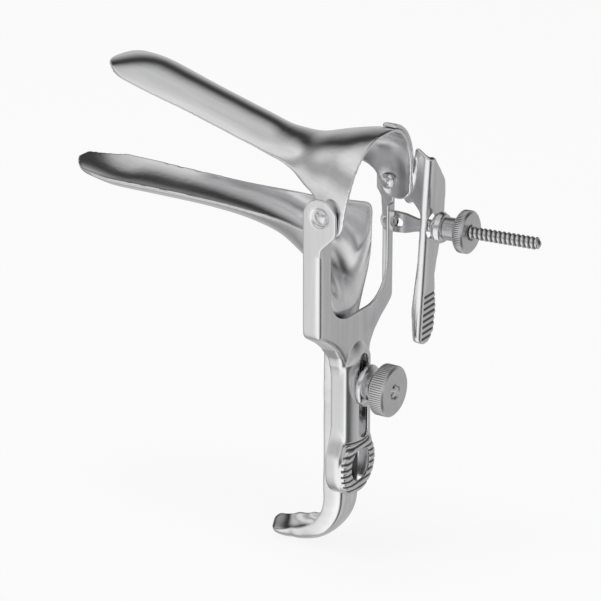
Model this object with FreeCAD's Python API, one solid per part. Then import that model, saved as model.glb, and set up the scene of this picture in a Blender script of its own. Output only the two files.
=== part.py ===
import FreeCAD, Part
import math
import os

# Bivalve speculum, medium narrow-blade pattern, all lengths in mm, angles in degrees.
# +X points at the operator, -X along the blades, +Y is the thumb lever's side, +Z is up.
# The origin lies on the hinge axis, midway between the two hinge rivets.

# Sheet and overall sizes
SHEET = 1.2                 # thickness of every pressed piece
RUNNING = 0.05              # radial clearance of a pin in its hole
SIDE_GAP = 0.3              # side clearance between sheets that slide past each other
BLADE_HALF = 11.5           # half width of both blades at mid length
TIP_HALF = 12.6             # half width of both blades near the tip
OPEN_ANGLE = 15.7           # upper blade above level as modelled

# Upper blade, sized level and then swung open about the hinge
UPPER_LENGTH = 100.7        # hinge to tip
UPPER_NOSE = 19.0           # length over which the crown falls to the tip
UPPER_EDGE = 5.2            # height of the long edges above the hinge axis
UPPER_CROWN = 6.1           # rise of the crown above the long edges
DOME_HALF = 22.0            # half width of the dome at its rim
DOME_TOP = 25.9             # rim crown above the hinge axis
DOME_FOOT = 9.0             # cheeks' lower end below the hinge axis
RIM_FRONT = 9.6             # rim in front of the hinge axis at the cheek
LOBE_RADIUS = 5.8           # foot of the cheek below the hinge axis

# Lower blade, throat, strap and hook
LOWER_LENGTH = 108.8        # hinge axis to tip, along X
LOWER_EDGE = -8.0           # height of the long edges
LOWER_DEPTH = 4.8           # trough depth at mid length
LOWER_NOSE = 20.0           # length over which the trough rises to the tip
THROAT_HALF = DOME_HALF - 4.2   # half width of the throat, inside the cheeks
THROAT_FRONT = -4.0         # the throat's front edge
STRAP_HALF = 6.5            # half width of the handle strap
STRAP_CROWN = -1.6          # strap's back
STRAP_DEPTH = 7.4           # strap's flanges
STRAP_FOOT = -107.3         # where the hook bend starts
HOOK_RADIUS = 20.0          # bend at the strap's back
SPOON_LENGTH = 10.0         # straight run after the bend
SPOON_HALF = 7.6            # half width of the spoon
SPOON_DEPTH = 5.8

# Yoke frame
CHEEK_GAP = 0.2             # between a cheek and the yoke's arm
YOKE_HALF = DOME_HALF + CHEEK_GAP + SHEET   # half width over the arms
YOKE_FACE = 0.5             # front face of the arms
YOKE_DEPTH = 6.9            # side flanges
YOKE_SHOULDER = -42.0       # where the arms turn in to the stem
NEAR_ARM = 7.0              # width of the near arm's front face
FAR_ARM = 4.6               # width of the far arm's front face
WINDOW_NEAR = YOKE_HALF - NEAR_ARM
WINDOW_FAR = YOKE_HALF - FAR_ARM
FAR_FLANGE = -3.9           # rear edge of the far arm's flange, cut back for the screw
WINDOW_FLOOR = -40.0        # bottom of the window between the arms
EAR_RADIUS = 6.2
ARM_TOP = -8.5              # upper ends of the arms' front faces
YOKE_BEND = 2.0
STEM_HALF = 8.0
STEM_CROWN = 3.6            # front of the raised stem
STEM_TOP = -58.0
STEM_BACK = -5.2            # rear edges of the stem's flanges
SLOT_HALF = 2.75
SLOT_TOP = -54.5
SLOT_FOOT = -84.4
RING_RADIUS = 11.0
RING_CENTRE = -95.0
RING_FACE = 2.4
RING_HOLE_HALF = 5.8
RING_HOLE_RISE = 5.4
GROOVE_RADIUS = 0.55
GROOVE_PITCH = 2.2

# Hinge rivets
RIVET_RADIUS = 1.6
RIVET_HEAD = 2.6
RIVET_RISE = 1.1
RIVET_SETBACK = 2.4         # inner head's seat inside the cheek, clear of its taper
DIMPLE_RADIUS = 3.4
DIMPLE_DEPTH = 0.7

# Thumb lever
LEVER_FACE = 13.9           # front face of the lever at the height of LEVER_PIVOT
LEVER_PIVOT = -5.0
LEVER_LEAN = 2.9            # how far the lever's foot leans back from upright
LEVER_SHEET = 1.5
LEVER_FLANGE = 3.0          # near flange in front of its rear edge
LEVER_BEND = 2.4
LEVER_OUTER = DOME_HALF + 11.8  # far edge beside the nut
LEVER_NECK = DOME_HALF + 7.8    # far edge at the neck
LEVER_PAD = DOME_HALF + 10.4    # far edge at the thumb pad
LEVER_FOOT = -58.5
PAD_TOP = -40.5
PAD_GROOVES = 8

# Lever screw: a threaded rod with a flat slotted eye
ROD_RADIUS = 2.15
ROD_HEIGHT = -16.2
SCREW_RISE = 2.7            # the screw's lean up from level
ROD_END = 53.8
EYE_PIN_X = -2.2
EYE_PLATE = 1.6
EYE_HALF = 3.6
EYE_SLOT = 5.2              # from the pin to the slot's open end
EYE_NECK = 9.0              # where the flat end becomes round
EYE_PIN_RADIUS = 1.6
EYE_WASHER = 0.7
ROD_OFFSET = 2.6            # screw's centre line beyond the far arm
ROD_AXIS = YOKE_HALF + ROD_OFFSET
SLOT_PLAY = 1.6             # extra length of the lever's slot at each end

# Nuts and their collars
LEVER_NUT_RADIUS = 7.25
LEVER_NUT_LENGTH = 3.9
LEVER_COLLAR_RADIUS = 5.4
LEVER_COLLAR_LENGTH = 4.6
LEVER_NECK_LENGTH = 5.6
CLAMP_NUT_RADIUS = 8.75
CLAMP_NUT_LENGTH = 5.6
CLAMP_COLLAR_RADIUS = 7.2
CLAMP_COLLAR_LENGTH = 3.6
CLAMP_NECK_LENGTH = 2.2
LEVER_NECK_RADIUS = 3.9
CLAMP_NECK_RADIUS = 4.6
NUT_GAP = 0.1
CLAMP_START = 3.6           # rear of the clamp's collar
NUT_COUNTERSINK = 0.9

# Clamp stud, brazed to the strap's back
STUD_RADIUS = 2.1
STUD_HEIGHT = -65.4
STUD_BASE_RADIUS = 3.6
STUD_PLAY = 1.0             # how far the stud's shoulder may pass the end of the raised stem

SKIN_TOLERANCE = 0.02
SEAT_GAP = 0.04             # between brazed pieces that lie on each other
ROWS_PER_MM = 0.17
COLUMNS = 12
FAR = 200.0


def vec(x, y, z):
    return FreeCAD.Vector(x, y, z)


def ease(keys, s):
    """Smooth value at s through (s, value) keys in rising order of s."""
    if s <= keys[0][0]:
        return keys[0][1]
    for (s0, v0), (s1, v1) in zip(keys, keys[1:]):
        if s <= s1:
            t = (s - s0) / (s1 - s0)
            return v0 + (v1 - v0) * t * t * (3 - 2 * t)
    return keys[-1][1]


def curve(keys, s):
    """Value at s on a smooth curve through (s, value) keys, with natural slopes."""
    last = len(keys) - 1
    slopes = []
    for i in range(last + 1):
        a = keys[max(i - 1, 0)]
        b = keys[min(i + 1, last)]
        slopes.append((b[1] - a[1]) / (b[0] - a[0]))
    if s <= keys[0][0]:
        return keys[0][1]
    for i in range(last):
        s0, v0 = keys[i]
        s1, v1 = keys[i + 1]
        if s <= s1:
            h = s1 - s0
            t = (s - s0) / h
            a = (1 + 2 * t) * (1 - t) ** 2 * v0 + t * (1 - t) ** 2 * h * slopes[i]
            return a + t * t * (3 - 2 * t) * v1 + t * t * (t - 1) * h * slopes[i + 1]
    return keys[-1][1]


def section(crown, edge, half, spread, square):
    """Points across a pressed section, from its near edge over its crown to its far edge.

    crown and edge are (x, z); spread is the half angle of the arc; square is 2 for
    a plain arc and more for straighter sides."""
    power = 2.0 / square
    top = math.sin(math.radians(spread)) ** power
    low = math.cos(math.radians(spread)) ** power if spread < 90 else 0.0
    points = []
    for i in range(COLUMNS + 1):
        angle = math.radians(spread) * (2.0 * i / COLUMNS - 1)
        side = math.copysign(abs(math.sin(angle)) ** power, angle)
        fall = (1 - max(math.cos(angle), 0.0) ** power) / (1 - low)
        x = crown[0] + (edge[0] - crown[0]) * fall
        z = crown[1] + (edge[1] - crown[1]) * fall
        points.append(vec(x, half * side / top, z))
    return points


def facing(rows, i, j):
    """Unit normal of the skin at one of its points."""
    along = rows[min(i + 1, len(rows) - 1)][j] - rows[max(i - 1, 0)][j]
    across = rows[i][min(j + 1, len(rows[i]) - 1)] - rows[i][max(j - 1, 0)]
    return along.cross(across).normalize()


def sheet(rows, thickness):
    """A pressed sheet of even thickness between the skin through rows of points and its offset."""
    inner = []
    for i, row in enumerate(rows):
        inner.append([point + facing(rows, i, j) * thickness for j, point in enumerate(row)])
    faces = []
    borders = []
    for grid in (rows, inner):
        skin = Part.BSplineSurface()
        skin.approximate(Points=grid, DegMin=3, DegMax=5, Continuity=2, Tolerance=SKIN_TOLERANCE)
        u0, u1, v0, v1 = skin.bounds()
        faces.append(skin.toShape())
        borders.append([skin.vIso(v0), skin.vIso(v1), skin.uIso(u0), skin.uIso(u1)])
    for sides in zip(*borders):
        rim = Part.BSplineSurface()
        rim.buildFromNSections(list(sides))
        faces.append(rim.toShape())
    shell = Part.makeShell(faces)
    shell.sewShape()
    solid = Part.makeSolid(shell)
    return solid if solid.Volume > 0 else solid.reversed()


def rounded(points):
    """A closed flat wire through (a, b, radius) corners, as 2-D points, each corner rounded."""
    n = len(points)
    edges = []
    ends = []
    for i in range(n):
        a, b, r = points[i]
        here = vec(a, b, 0)
        before = vec(points[i - 1][0], points[i - 1][1], 0) - here
        after = vec(points[(i + 1) % n][0], points[(i + 1) % n][1], 0) - here
        before.normalize()
        after.normalize()
        if r <= 0:
            ends.append((here, here, None))
            continue
        half = before.getAngle(after) / 2
        reach = r / math.tan(half)
        middle = before + after
        middle.normalize()
        mid = here + middle * (r / math.sin(half) - r)
        ends.append((here + before * reach, here + after * reach, mid))
    for i in range(n):
        start, end, mid = ends[i]
        if mid is not None:
            edges.append(Part.Arc(start, mid, end).toShape())
        follow = ends[(i + 1) % n][0]
        if (follow - end).Length > 1e-6:
            edges.append(Part.LineSegment(end, follow).toShape())
    return Part.Wire(edges)


def prism(points, plane, start, end):
    """A prism on a rounded outline: plane 'xz' runs along Y, 'yz' along X, 'xy' along Z."""
    face = Part.Face(rounded(points))
    if plane == "xz":
        face.Placement = FreeCAD.Placement(vec(0, start, 0), FreeCAD.Rotation(vec(1, 0, 0), 90))
        return face.extrude(vec(0, end - start, 0))
    if plane == "yz":
        face.Placement = FreeCAD.Placement(vec(start, 0, 0), FreeCAD.Rotation(vec(1, 1, 1), 120))
        return face.extrude(vec(end - start, 0, 0))
    face.Placement = FreeCAD.Placement(vec(0, 0, start), FreeCAD.Rotation())
    return face.extrude(vec(0, 0, end - start))


def rod(radius, start, end):
    """A round bar between two points."""
    run = end - start
    return Part.makeCylinder(radius, run.Length, start, run)


def turned(profile, start, direction):
    """A turned piece: profile is (along, radius) corners from the axis back to the axis."""
    wire = Part.makePolygon([vec(r, 0, a) for a, r in profile + profile[:1]])
    solid = Part.Face(wire).revolve(vec(0, 0, 0), vec(0, 0, 1), 360)
    turn = FreeCAD.Rotation(vec(0, 0, 1), direction)
    solid.Placement = FreeCAD.Placement(start, turn)
    return solid


def dome_profile(radius, rise, steps):
    """Corners of a domed end of the given rise, from its rim to its pole."""
    ball = (radius ** 2 + rise ** 2) / (2 * rise)
    reach = math.asin(radius / ball)
    corners = []
    for i in range(steps + 1):
        a = reach * (1 - i / steps)
        corners.append((ball * math.cos(a) - (ball - rise), ball * math.sin(a)))
    return corners


def upper_rows():
    """Rows of points over the outside of the level upper blade, from its tip to the dome's rim."""
    tip = UPPER_LENGTH
    nose = tip - UPPER_NOSE
    crown_z = [(-tip, UPPER_EDGE), (-nose, UPPER_EDGE + UPPER_CROWN), (-32, UPPER_EDGE + UPPER_CROWN)]
    dome_z = [(-32, UPPER_EDGE + UPPER_CROWN), (-22, 13.6), (-12, 19.0), (-4, 23.4), (3.6, DOME_TOP)]
    edge_z = [(-32, UPPER_EDGE), (-22, UPPER_EDGE), (-12, -2.0), (-4, -DOME_FOOT), (3.6, -DOME_FOOT)]
    lean = [(-32, 0.0), (-22, 1.5), (-12, 3.5), (-4, 5.0), (3.6, RIM_FRONT - 3.6)]
    half = [(-tip, TIP_HALF), (-nose, TIP_HALF), (-60, BLADE_HALF), (-32, BLADE_HALF)]
    half += [(-22, 13.0), (-12, DOME_HALF - 4.4), (-4, DOME_HALF - 0.8), (3.6, DOME_HALF)]
    spread = [(-tip, 55.0), (-40, 60.0), (-4, 90.0), (3.6, 90.0)]
    square = [(-tip, 2.0), (-32, 2.0), (-4, 2.6), (3.6, 2.6)]
    rows = []
    count = int((tip + 3.6) * ROWS_PER_MM)
    for i in range(count + 1):
        x = -tip + (tip + 3.6) * i / count
        if x < -nose:
            drop = ((-nose - x) / UPPER_NOSE) ** 2
            top = UPPER_EDGE + UPPER_CROWN * (1 - drop) + 0.15 * drop
        elif x < -32:
            top = crown_z[1][1]
        else:
            top = curve(dome_z, x)
        crown = (x, top)
        edge = (x + ease(lean, x), curve(edge_z, x))
        rows.append(section(crown, edge, ease(half, x), ease(spread, x), ease(square, x)))
    return rows


def upper_outline():
    """Side outline that trims the level upper blade to its long edges, cheeks and rim."""
    low = -LOBE_RADIUS
    outline = [(-FAR, UPPER_EDGE - 0.2, 0), (-20, UPPER_EDGE - 0.2, 14), (-5.2, 3.2, 7), (-0.6, low, 3.5)]
    outline += [(7.4, low + 0.4, 5), (RIM_FRONT + 0.5, 9, 12), (RIM_FRONT - 3, FAR, 0), (-FAR, FAR, 0)]
    return outline


def opened(shape):
    """Swings a piece that was drawn level to the modelled opening."""
    shape.rotate(vec(0, 0, 0), vec(0, 1, 0), OPEN_ANGLE)
    return shape


def upper_blade(rows):
    shell = sheet(rows, -SHEET).common(prism(upper_outline(), "xz", -FAR, FAR))
    shell = shell.cut(nose_waste(-UPPER_LENGTH, TIP_HALF, TIP_HALF * 1.1))
    return opened(shell.cut(rod(RIVET_RADIUS + RUNNING, vec(0, -FAR, 0), vec(0, FAR, 0))))


def nose_waste(tip, half, length):
    """What is cut from a sheet's square end at x = tip to leave a half-elliptic nose."""
    block = Part.makeBox(length + 5, 4 * half, 2 * FAR, vec(tip - 5, -2 * half, -FAR))
    if length > half:
        oval = Part.Ellipse(vec(tip + length, 0, 0), length, half).toShape()
    else:
        oval = Part.Circle(vec(tip + length, 0, 0), vec(0, 0, 1), half).toShape()
    oval = Part.Face(Part.Wire(oval))
    oval.translate(vec(0, 0, -FAR))
    return block.cut(oval.extrude(vec(0, 0, 2 * FAR)))


def lower_stations():
    """Floor, edge and half width from the tip through the throat to the strap, as seven-number stations."""
    edge = LOWER_EDGE
    floor = edge - LOWER_DEPTH
    nose = -LOWER_LENGTH + LOWER_NOSE
    back = STRAP_CROWN - SHEET
    rear = STRAP_CROWN - STRAP_DEPTH
    strap = STRAP_HALF - SHEET
    front = THROAT_FRONT
    wide = THROAT_HALF
    return [
        (nose, floor, nose, edge, TIP_HALF, 45, 2.0),
        (-74, floor, -74, edge, BLADE_HALF + 0.4, 45, 2.0),
        (-60, floor, -60, edge, BLADE_HALF, 46, 2.0),
        (-47, floor - 0.5, -47, edge, BLADE_HALF, 52, 2.0),
        (-36, floor - 1.6, -35, edge, BLADE_HALF + 1.0, 60, 2.0),
        (-25, floor - 4.2, -23, edge, wide - 4.2, 70, 2.2),
        (-15.5, floor - 9.4, -12, edge - 0.1, wide - 1.4, 78, 2.3),
        (-9.8, floor - 15, front - 1.2, edge - 0.6, wide - 0.4, 76, 2.2),
        (-7, floor - 19.2, front, edge - 7, wide - 1.8, 66, 2.0),
        (-5.2, floor - 23.2, front, edge - 15, wide - 3.6, 60, 2.0),
        (-4, floor - 27.2, front - 0.8, edge - 23, wide - 5.8, 56, 2.0),
        (-3.3, floor - 31.6, front - 2.4, edge - 30.4, strap + 4.7, 58, 2.0),
        (-2.95, floor - 36.2, rear + 1, edge - 37, strap + 1.9, 68, 2.1),
        (back, floor - 42, rear, edge - 43.6, strap, 90, 2.4),
    ]


def lower_rows():
    """Rows of points over the whole lower blade, from the tip to the spoon's end."""
    stations = lower_stations()
    first = stations[0]
    rows = []
    steps = 4
    for i in range(steps):
        rise = ((steps - i) / steps) ** 2
        x = first[0] - LOWER_NOSE * (steps - i) / steps
        crown = (x, LOWER_EDGE - LOWER_DEPTH * (1 - rise) - 0.15 * rise)
        rows.append(section(crown, (x, LOWER_EDGE), TIP_HALF, first[5], first[6]))
    steps = 2
    for i in range((len(stations) - 1) * steps + 1):
        s = i / steps
        at = [curve([(k, st[j]) for k, st in enumerate(stations)], s) for j in range(7)]
        rows.append(section((at[0], at[1]), (at[2], at[3]), at[4], min(at[5], 90), at[6]))
    last = stations[-1]
    steps = 5
    for i in range(1, steps + 1):
        z = last[1] + (STRAP_FOOT - last[1]) * i / steps
        edge_z = last[3] + (STRAP_FOOT - last[3]) * i / steps
        rows.append(section((last[0], z), (last[2], edge_z), last[4], 90, last[6]))
    radius = HOOK_RADIUS - SHEET
    pivot = STRAP_CROWN - HOOK_RADIUS
    steps = 7
    for i in range(1, steps + 1):
        turn = math.radians(90.0 * i / steps)
        depth = STRAP_DEPTH + (SPOON_DEPTH - STRAP_DEPTH) * i / steps
        half = last[4] + (SPOON_HALF - SHEET - last[4]) * i / steps
        inner = HOOK_RADIUS - depth
        crown = (pivot + radius * math.cos(turn), STRAP_FOOT - radius * math.sin(turn))
        edge = (pivot + inner * math.cos(turn), STRAP_FOOT - inner * math.sin(turn))
        rows.append(section(crown, edge, half, 90, last[6]))
    steps = 5
    for i in range(1, steps + 1):
        x = pivot - SPOON_LENGTH * i / steps
        rise = (i / steps) ** 2.5
        low = STRAP_FOOT - radius
        rim = STRAP_FOOT - HOOK_RADIUS + SPOON_DEPTH
        crown = (x, low + (rim - low - 0.2) * rise)
        rows.append(section(crown, (x, rim), half, 90 - 50 * i / steps, 2.2))
    return rows


def lower_blade():
    shell = sheet(lower_rows(), SHEET)
    shell = shell.cut(nose_waste(-LOWER_LENGTH, TIP_HALF, TIP_HALF * 1.1).common(above(-40)))
    spoon = STRAP_CROWN - HOOK_RADIUS - SPOON_LENGTH
    return shell.cut(nose_waste(spoon, SPOON_HALF, SPOON_HALF).common(below(-100)))


def above(z):
    return Part.makeBox(2 * FAR, 2 * FAR, FAR, vec(-FAR, -FAR, z))


def below(z):
    return Part.makeBox(2 * FAR, 2 * FAR, FAR, vec(-FAR, -FAR, z - FAR))


def yoke_outline(inset, top):
    """Half-symmetric front outline of the yoke, drawn in from the edge by inset."""
    arm = YOKE_HALF - inset
    stem = STEM_HALF - inset
    ring = RING_RADIUS + 0.3 - inset
    foot = RING_CENTRE - RING_RADIUS + inset
    half = [(arm, top, 0), (arm, YOKE_SHOULDER + 0.4 * inset, 4), (stem, STEM_TOP + 1 + 0.4 * inset, 12)]
    half += [(stem, RING_CENTRE + 13, 14), (ring, RING_CENTRE + 5, 9), (ring, foot, ring - 0.6)]
    return half + [(-y, z, r) for y, z, r in reversed(half)]


def bulge_radius():
    """Outer radius of the stem's raised back."""
    rise = STEM_CROWN - YOKE_FACE
    return (STEM_HALF ** 2 + rise ** 2) / (2 * rise)


def stem_bulge(inset):
    """The raised, rounded back of the stem, a bar with a ball end, drawn in by inset."""
    radius = bulge_radius()
    centre = STEM_CROWN - radius
    bar = rod(radius - inset, vec(centre, 0, STEM_TOP), vec(centre, 0, RING_CENTRE + RING_RADIUS - 2))
    ball = Part.makeSphere(radius - inset, vec(centre, 0, STEM_TOP))
    keep = Part.makeBox(radius, 2 * STEM_HALF - 2 * inset, FAR, vec(YOKE_FACE - 2, inset - STEM_HALF, -FAR))
    return bar.fuse(ball).common(keep)


def ring_bulge(inset):
    """The thumb ring's raised, rounded face, drawn in by inset."""
    radius = RING_RADIUS - inset
    face = RING_FACE - inset
    profile = [(YOKE_FACE - 2, 0), (YOKE_FACE - 2, radius), (YOKE_FACE - 1.2, radius)]
    profile += [(face - 0.9, radius - 0.9), (face, radius - 2.6), (face, 0)]
    return turned(profile, vec(0, 0, RING_CENTRE), vec(1, 0, 0))


def yoke_frame():
    back = YOKE_FACE - YOKE_DEPTH
    outer = prism(yoke_outline(0, ARM_TOP), "yz", back, YOKE_FACE)
    front = [e for e in outer.Edges if e.BoundBox.XMin > YOKE_FACE - 0.01 and e.BoundBox.ZMin < ARM_TOP - 0.5]
    outer = outer.makeFillet(YOKE_BEND, front)
    outer = outer.fuse([stem_bulge(0), ring_bulge(0)])
    inner = prism(yoke_outline(SHEET, FAR), "yz", back - 1, YOKE_FACE - SHEET)
    inner = inner.fuse([stem_bulge(SHEET), ring_bulge(SHEET)])
    pan = outer.cut(inner)
    opening = [(WINDOW_FAR, FAR, 0), (WINDOW_FAR, WINDOW_FLOOR, 12), (-WINDOW_NEAR, WINDOW_FLOOR, 11)]
    opening += [(-WINDOW_NEAR, FAR, 0)]
    pan = pan.cut(prism(opening, "yz", back - 1, STEM_CROWN + 1))
    shallow = [(back - 1, -47, 0), (STEM_BACK, -56, 6), (STEM_BACK, -FAR, 0), (back - 1, -FAR, 0)]
    pan = pan.cut(prism(shallow, "xz", -FAR, FAR))
    for side in (-1, 1):
        pan = ear(pan, side)
    relief = [(back - 1, -3, 0), (FAR_FLANGE - 0.7, -7, 3), (FAR_FLANGE, -20, 4), (FAR_FLANGE, -48, 2), (back - 1, -52, 0)]
    pan = pan.cut(prism(relief, "xz", 10, FAR))
    mid = SLOT_HALF - 0.01
    slot = [(mid, SLOT_TOP, mid), (mid, SLOT_FOOT, mid), (-mid, SLOT_FOOT, mid), (-mid, SLOT_TOP, mid)]
    pan = pan.cut(prism(slot, "yz", back - 1, STEM_CROWN + 1))
    side = RING_HOLE_HALF
    low = RING_CENTRE - RING_HOLE_RISE
    high = RING_CENTRE + RING_HOLE_RISE
    hole = [(side, high, 4.6), (side, low, 5.3), (-side, low, 5.3), (-side, high, 4.6)]
    pan = pan.cut(prism(hole, "yz", back - 1, STEM_CROWN + 1))
    pin = rod(EYE_PIN_RADIUS + RUNNING, vec(EYE_PIN_X, 0, ROD_HEIGHT), vec(EYE_PIN_X, FAR, ROD_HEIGHT))
    half = STRAP_HALF + 2 * SIDE_GAP
    corner = vec(STRAP_CROWN + SIDE_GAP - FAR, -half, RING_CENTRE - RING_RADIUS - SIDE_GAP)
    passage = Part.makeBox(FAR, 2 * half, 3 * SHEET + SIDE_GAP, corner)
    return pan.cut(pin).cut(passage)


def ear(pan, side):
    """Adds one rounded ear with its dimple to the arm on the given side of the yoke."""
    inner = YOKE_HALF - SHEET
    back = YOKE_FACE - YOKE_DEPTH
    top = EAR_RADIUS
    round_top = EAR_RADIUS - 0.02
    outline = [(back, ARM_TOP - 5, 0), (back, top, round_top), (top, top, round_top)]
    if side < 0:
        outline += [(top, -5.5, 4), (YOKE_FACE, ARM_TOP - 2.5, 2)]
    else:
        outline += [(top, -top, top - 0.7), (YOKE_FACE, -top, 0)]
    outline += [(YOKE_FACE, ARM_TOP - 5, 0)]
    plate = prism(outline, "xz", side * inner, side * YOKE_HALF)
    boss = rod(DIMPLE_RADIUS, vec(0, side * (DOME_HALF + 0.08), 0), vec(0, side * inner, 0))
    pan = pan.fuse([plate, boss])
    dish = Part.makeCone(DIMPLE_RADIUS - 0.5, DIMPLE_RADIUS, DIMPLE_DEPTH)
    dish.Placement = FreeCAD.Placement(vec(0, side * (YOKE_HALF - DIMPLE_DEPTH), 0), FreeCAD.Rotation(vec(0, 0, 1), vec(0, side, 0)))
    pan = pan.cut(dish)
    return pan.cut(rod(RIVET_RADIUS, vec(0, side * 15, 0), vec(0, side * FAR, 0)))


def hinge_rivets():
    """Both hinge rivets, each with a domed head in the ear's dimple and one inside the cheek."""
    solids = []
    for side in (-1, 1):
        outer = YOKE_HALF - DIMPLE_DEPTH
        inner = DOME_HALF - SHEET - RIVET_SETBACK
        profile = [(inner - RIVET_RISE, 0)]
        profile += [(inner - a, r) for a, r in reversed(dome_profile(RIVET_HEAD, RIVET_RISE, 4)[:-1])]
        profile += [(inner, RIVET_RADIUS), (outer, RIVET_RADIUS)]
        profile += [(outer + a, r) for a, r in dome_profile(RIVET_HEAD - 0.2, RIVET_RISE, 4)]
        solids.append(turned(profile, vec(0, 0, 0), vec(0, side, 0)))
    return Part.makeCompound(solids)


def raised(shape):
    """Leans a piece of the screw's group up from level about the pin of the screw's eye."""
    shape.rotate(vec(EYE_PIN_X, 0, ROD_HEIGHT), vec(0, 1, 0), -SCREW_RISE)
    return shape


def saddle(rows):
    """The lever's upper plate, pressed to lie on the outside of the dome beside its rim."""
    rear = rows[-5:]
    lying = []
    for i, row in enumerate(rear):
        lying.append([point + facing(rear, i, j) * SEAT_GAP for j, point in enumerate(row)])
    plate = sheet(lying, LEVER_SHEET)
    outline = [(-1.5, 17, 3), (5.5, 9, 2), (5.5, -6, 2), (RIM_FRONT, -6, 2), (RIM_FRONT + 0.5, 9, 12), (4, 28, 0), (-1.5, 28, 0)]
    plate = plate.common(prism(outline, "xz", 6, FAR))
    return opened(plate.cut(rod(EAR_RADIUS + 2 * SIDE_GAP, vec(0, 0, 0), vec(0, FAR, 0))))


def thumb_lever(rows):
    """The lever: a plate brazed to the dome's far cheek, bent out into the thumb strap."""
    near = DOME_HALF + 0.02
    inner = LEVER_FACE - LEVER_SHEET
    rear = RIM_FRONT - 2.2
    bend = LEVER_BEND
    angle = [(rear, near, 0), (LEVER_FACE, near, bend), (LEVER_FACE, LEVER_OUTER + 1, 0)]
    angle += [(inner, LEVER_OUTER + 1, 0), (inner, near + LEVER_SHEET, bend - LEVER_SHEET), (rear, near + LEVER_SHEET, 0)]
    lever = prism(angle, "xy", LEVER_FOOT - 1, 24)
    low = LEVER_FACE - LEVER_FLANGE
    side = [(rear, 12.5, 1), (rear, -6.8, 1.5), (low, -10.5, 3), (low, -28, 20), (low - 1.2, -46, 12)]
    side += [(low + 0.4, LEVER_FOOT - 2, 0), (LEVER_FACE + 1, LEVER_FOOT - 2, 0), (LEVER_FACE + 1, 8, 0)]
    lever = lever.common(prism(side, "xz", 0, FAR))
    pad = LEVER_PAD
    front = [(near - 1, 13, 0), (near - 1, LEVER_FOOT, 4.5), (pad - 0.6, LEVER_FOOT, 5), (pad, -46, 8), (LEVER_NECK, -34, 14)]
    front += [(LEVER_OUTER, -16, 14), (LEVER_OUTER, -1.5, 9), (near + 3, 9.5, 3)]
    flat = prism(front, "yz", rear - 1, LEVER_FACE + 1)
    plate = Part.makeBox(LEVER_FACE, LEVER_SHEET + 0.8, 24, vec(rear - 1, near - 0.1, 0))
    lever = lever.common(flat.fuse(plate))
    hole = ROD_RADIUS + 0.5
    reach = hole + SLOT_PLAY
    cross = ROD_HEIGHT + (LEVER_FACE - EYE_PIN_X) * math.sin(math.radians(SCREW_RISE))
    slot = [(ROD_AXIS - hole, cross + reach, hole - 0.01), (ROD_AXIS - hole, cross - reach, hole - 0.01)]
    slot += [(ROD_AXIS + hole, cross - reach, hole - 0.01), (ROD_AXIS + hole, cross + reach, hole - 0.01)]
    lever = lever.cut(prism(slot, "yz", rear, LEVER_FACE + 1))
    for i in range(PAD_GROOVES):
        z = PAD_TOP - GROOVE_PITCH * i
        groove = rod(GROOVE_RADIUS, vec(LEVER_FACE + 0.15, near + 1.6, z), vec(LEVER_FACE + 0.15, FAR, z))
        lever = lever.cut(groove)
    lever.rotate(vec(LEVER_FACE, 0, LEVER_PIVOT), vec(0, 1, 0), LEVER_LEAN)
    return lever.fuse(saddle(rows))


def lever_screw():
    """Threaded rod whose end is flattened into a slotted eye beside the yoke's far arm."""
    plate_y = YOKE_HALF + EYE_WASHER + 0.05
    tip = EYE_PIN_X - EYE_HALF
    high = ROD_HEIGHT + EYE_HALF
    low = ROD_HEIGHT - EYE_HALF
    outline = [(tip, high, EYE_HALF - 0.01), (tip, low, EYE_HALF - 0.01), (EYE_PIN_X + 4, low, 4)]
    outline += [(EYE_NECK + 1.5, ROD_HEIGHT - ROD_RADIUS, 0.5), (EYE_NECK + 1.5, ROD_HEIGHT + ROD_RADIUS, 0.5)]
    outline += [(EYE_PIN_X + 4, high, 4)]
    plate = prism(outline, "xz", plate_y, plate_y + EYE_PLATE)
    hole = EYE_PIN_RADIUS + RUNNING
    start = EYE_PIN_X - hole
    slot = [(start, ROD_HEIGHT + hole, hole - 0.01), (start, ROD_HEIGHT - hole, hole - 0.01)]
    slot += [(start + EYE_SLOT, ROD_HEIGHT - hole, hole - 0.01), (start + EYE_SLOT, ROD_HEIGHT + hole, hole - 0.01)]
    plate = plate.cut(prism(slot, "xz", 0, FAR))
    profile = [(EYE_NECK, 0), (EYE_NECK, ROD_RADIUS - 0.8), (EYE_NECK + 0.8, ROD_RADIUS)]
    profile += [(ROD_END - 1.7 + a, r) for a, r in dome_profile(ROD_RADIUS, 1.7, 5)]
    bar = turned(profile, vec(0, ROD_AXIS, ROD_HEIGHT), vec(1, 0, 0))
    return raised(plate.fuse(bar).removeSplitter())


def screw_pin():
    """Pin of the screw's eye, riveted into the far arm, with its washer and head."""
    inside = YOKE_HALF - SHEET
    plate = YOKE_HALF + EYE_WASHER
    outside = plate + EYE_PLATE + 0.1
    profile = [(inside, 0), (inside, EYE_PIN_RADIUS), (YOKE_HALF, EYE_PIN_RADIUS)]
    profile += [(YOKE_HALF, 2.9), (plate, 2.9), (plate, EYE_PIN_RADIUS), (outside, EYE_PIN_RADIUS), (outside, 2.6)]
    profile += [(outside + 0.5, 2.4), (outside + 0.9, 1.5), (outside + 0.9, 0)]
    return turned(profile, vec(EYE_PIN_X, 0, ROD_HEIGHT), vec(0, 1, 0))


def nut(radius, length, neck, back, bore, start):
    """A round thumb nut with a smooth neck behind its rim and a countersunk mouth."""
    edge = 0.5
    front = back + length
    profile = [(0, bore), (0, neck), (back, neck), (back, radius - edge)]
    profile += [(back + edge, radius), (front - edge, radius), (front, radius - edge)]
    profile += [(front, bore + NUT_COUNTERSINK), (front - NUT_COUNTERSINK, bore)]
    return turned(profile, start, vec(1, 0, 0))


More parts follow.
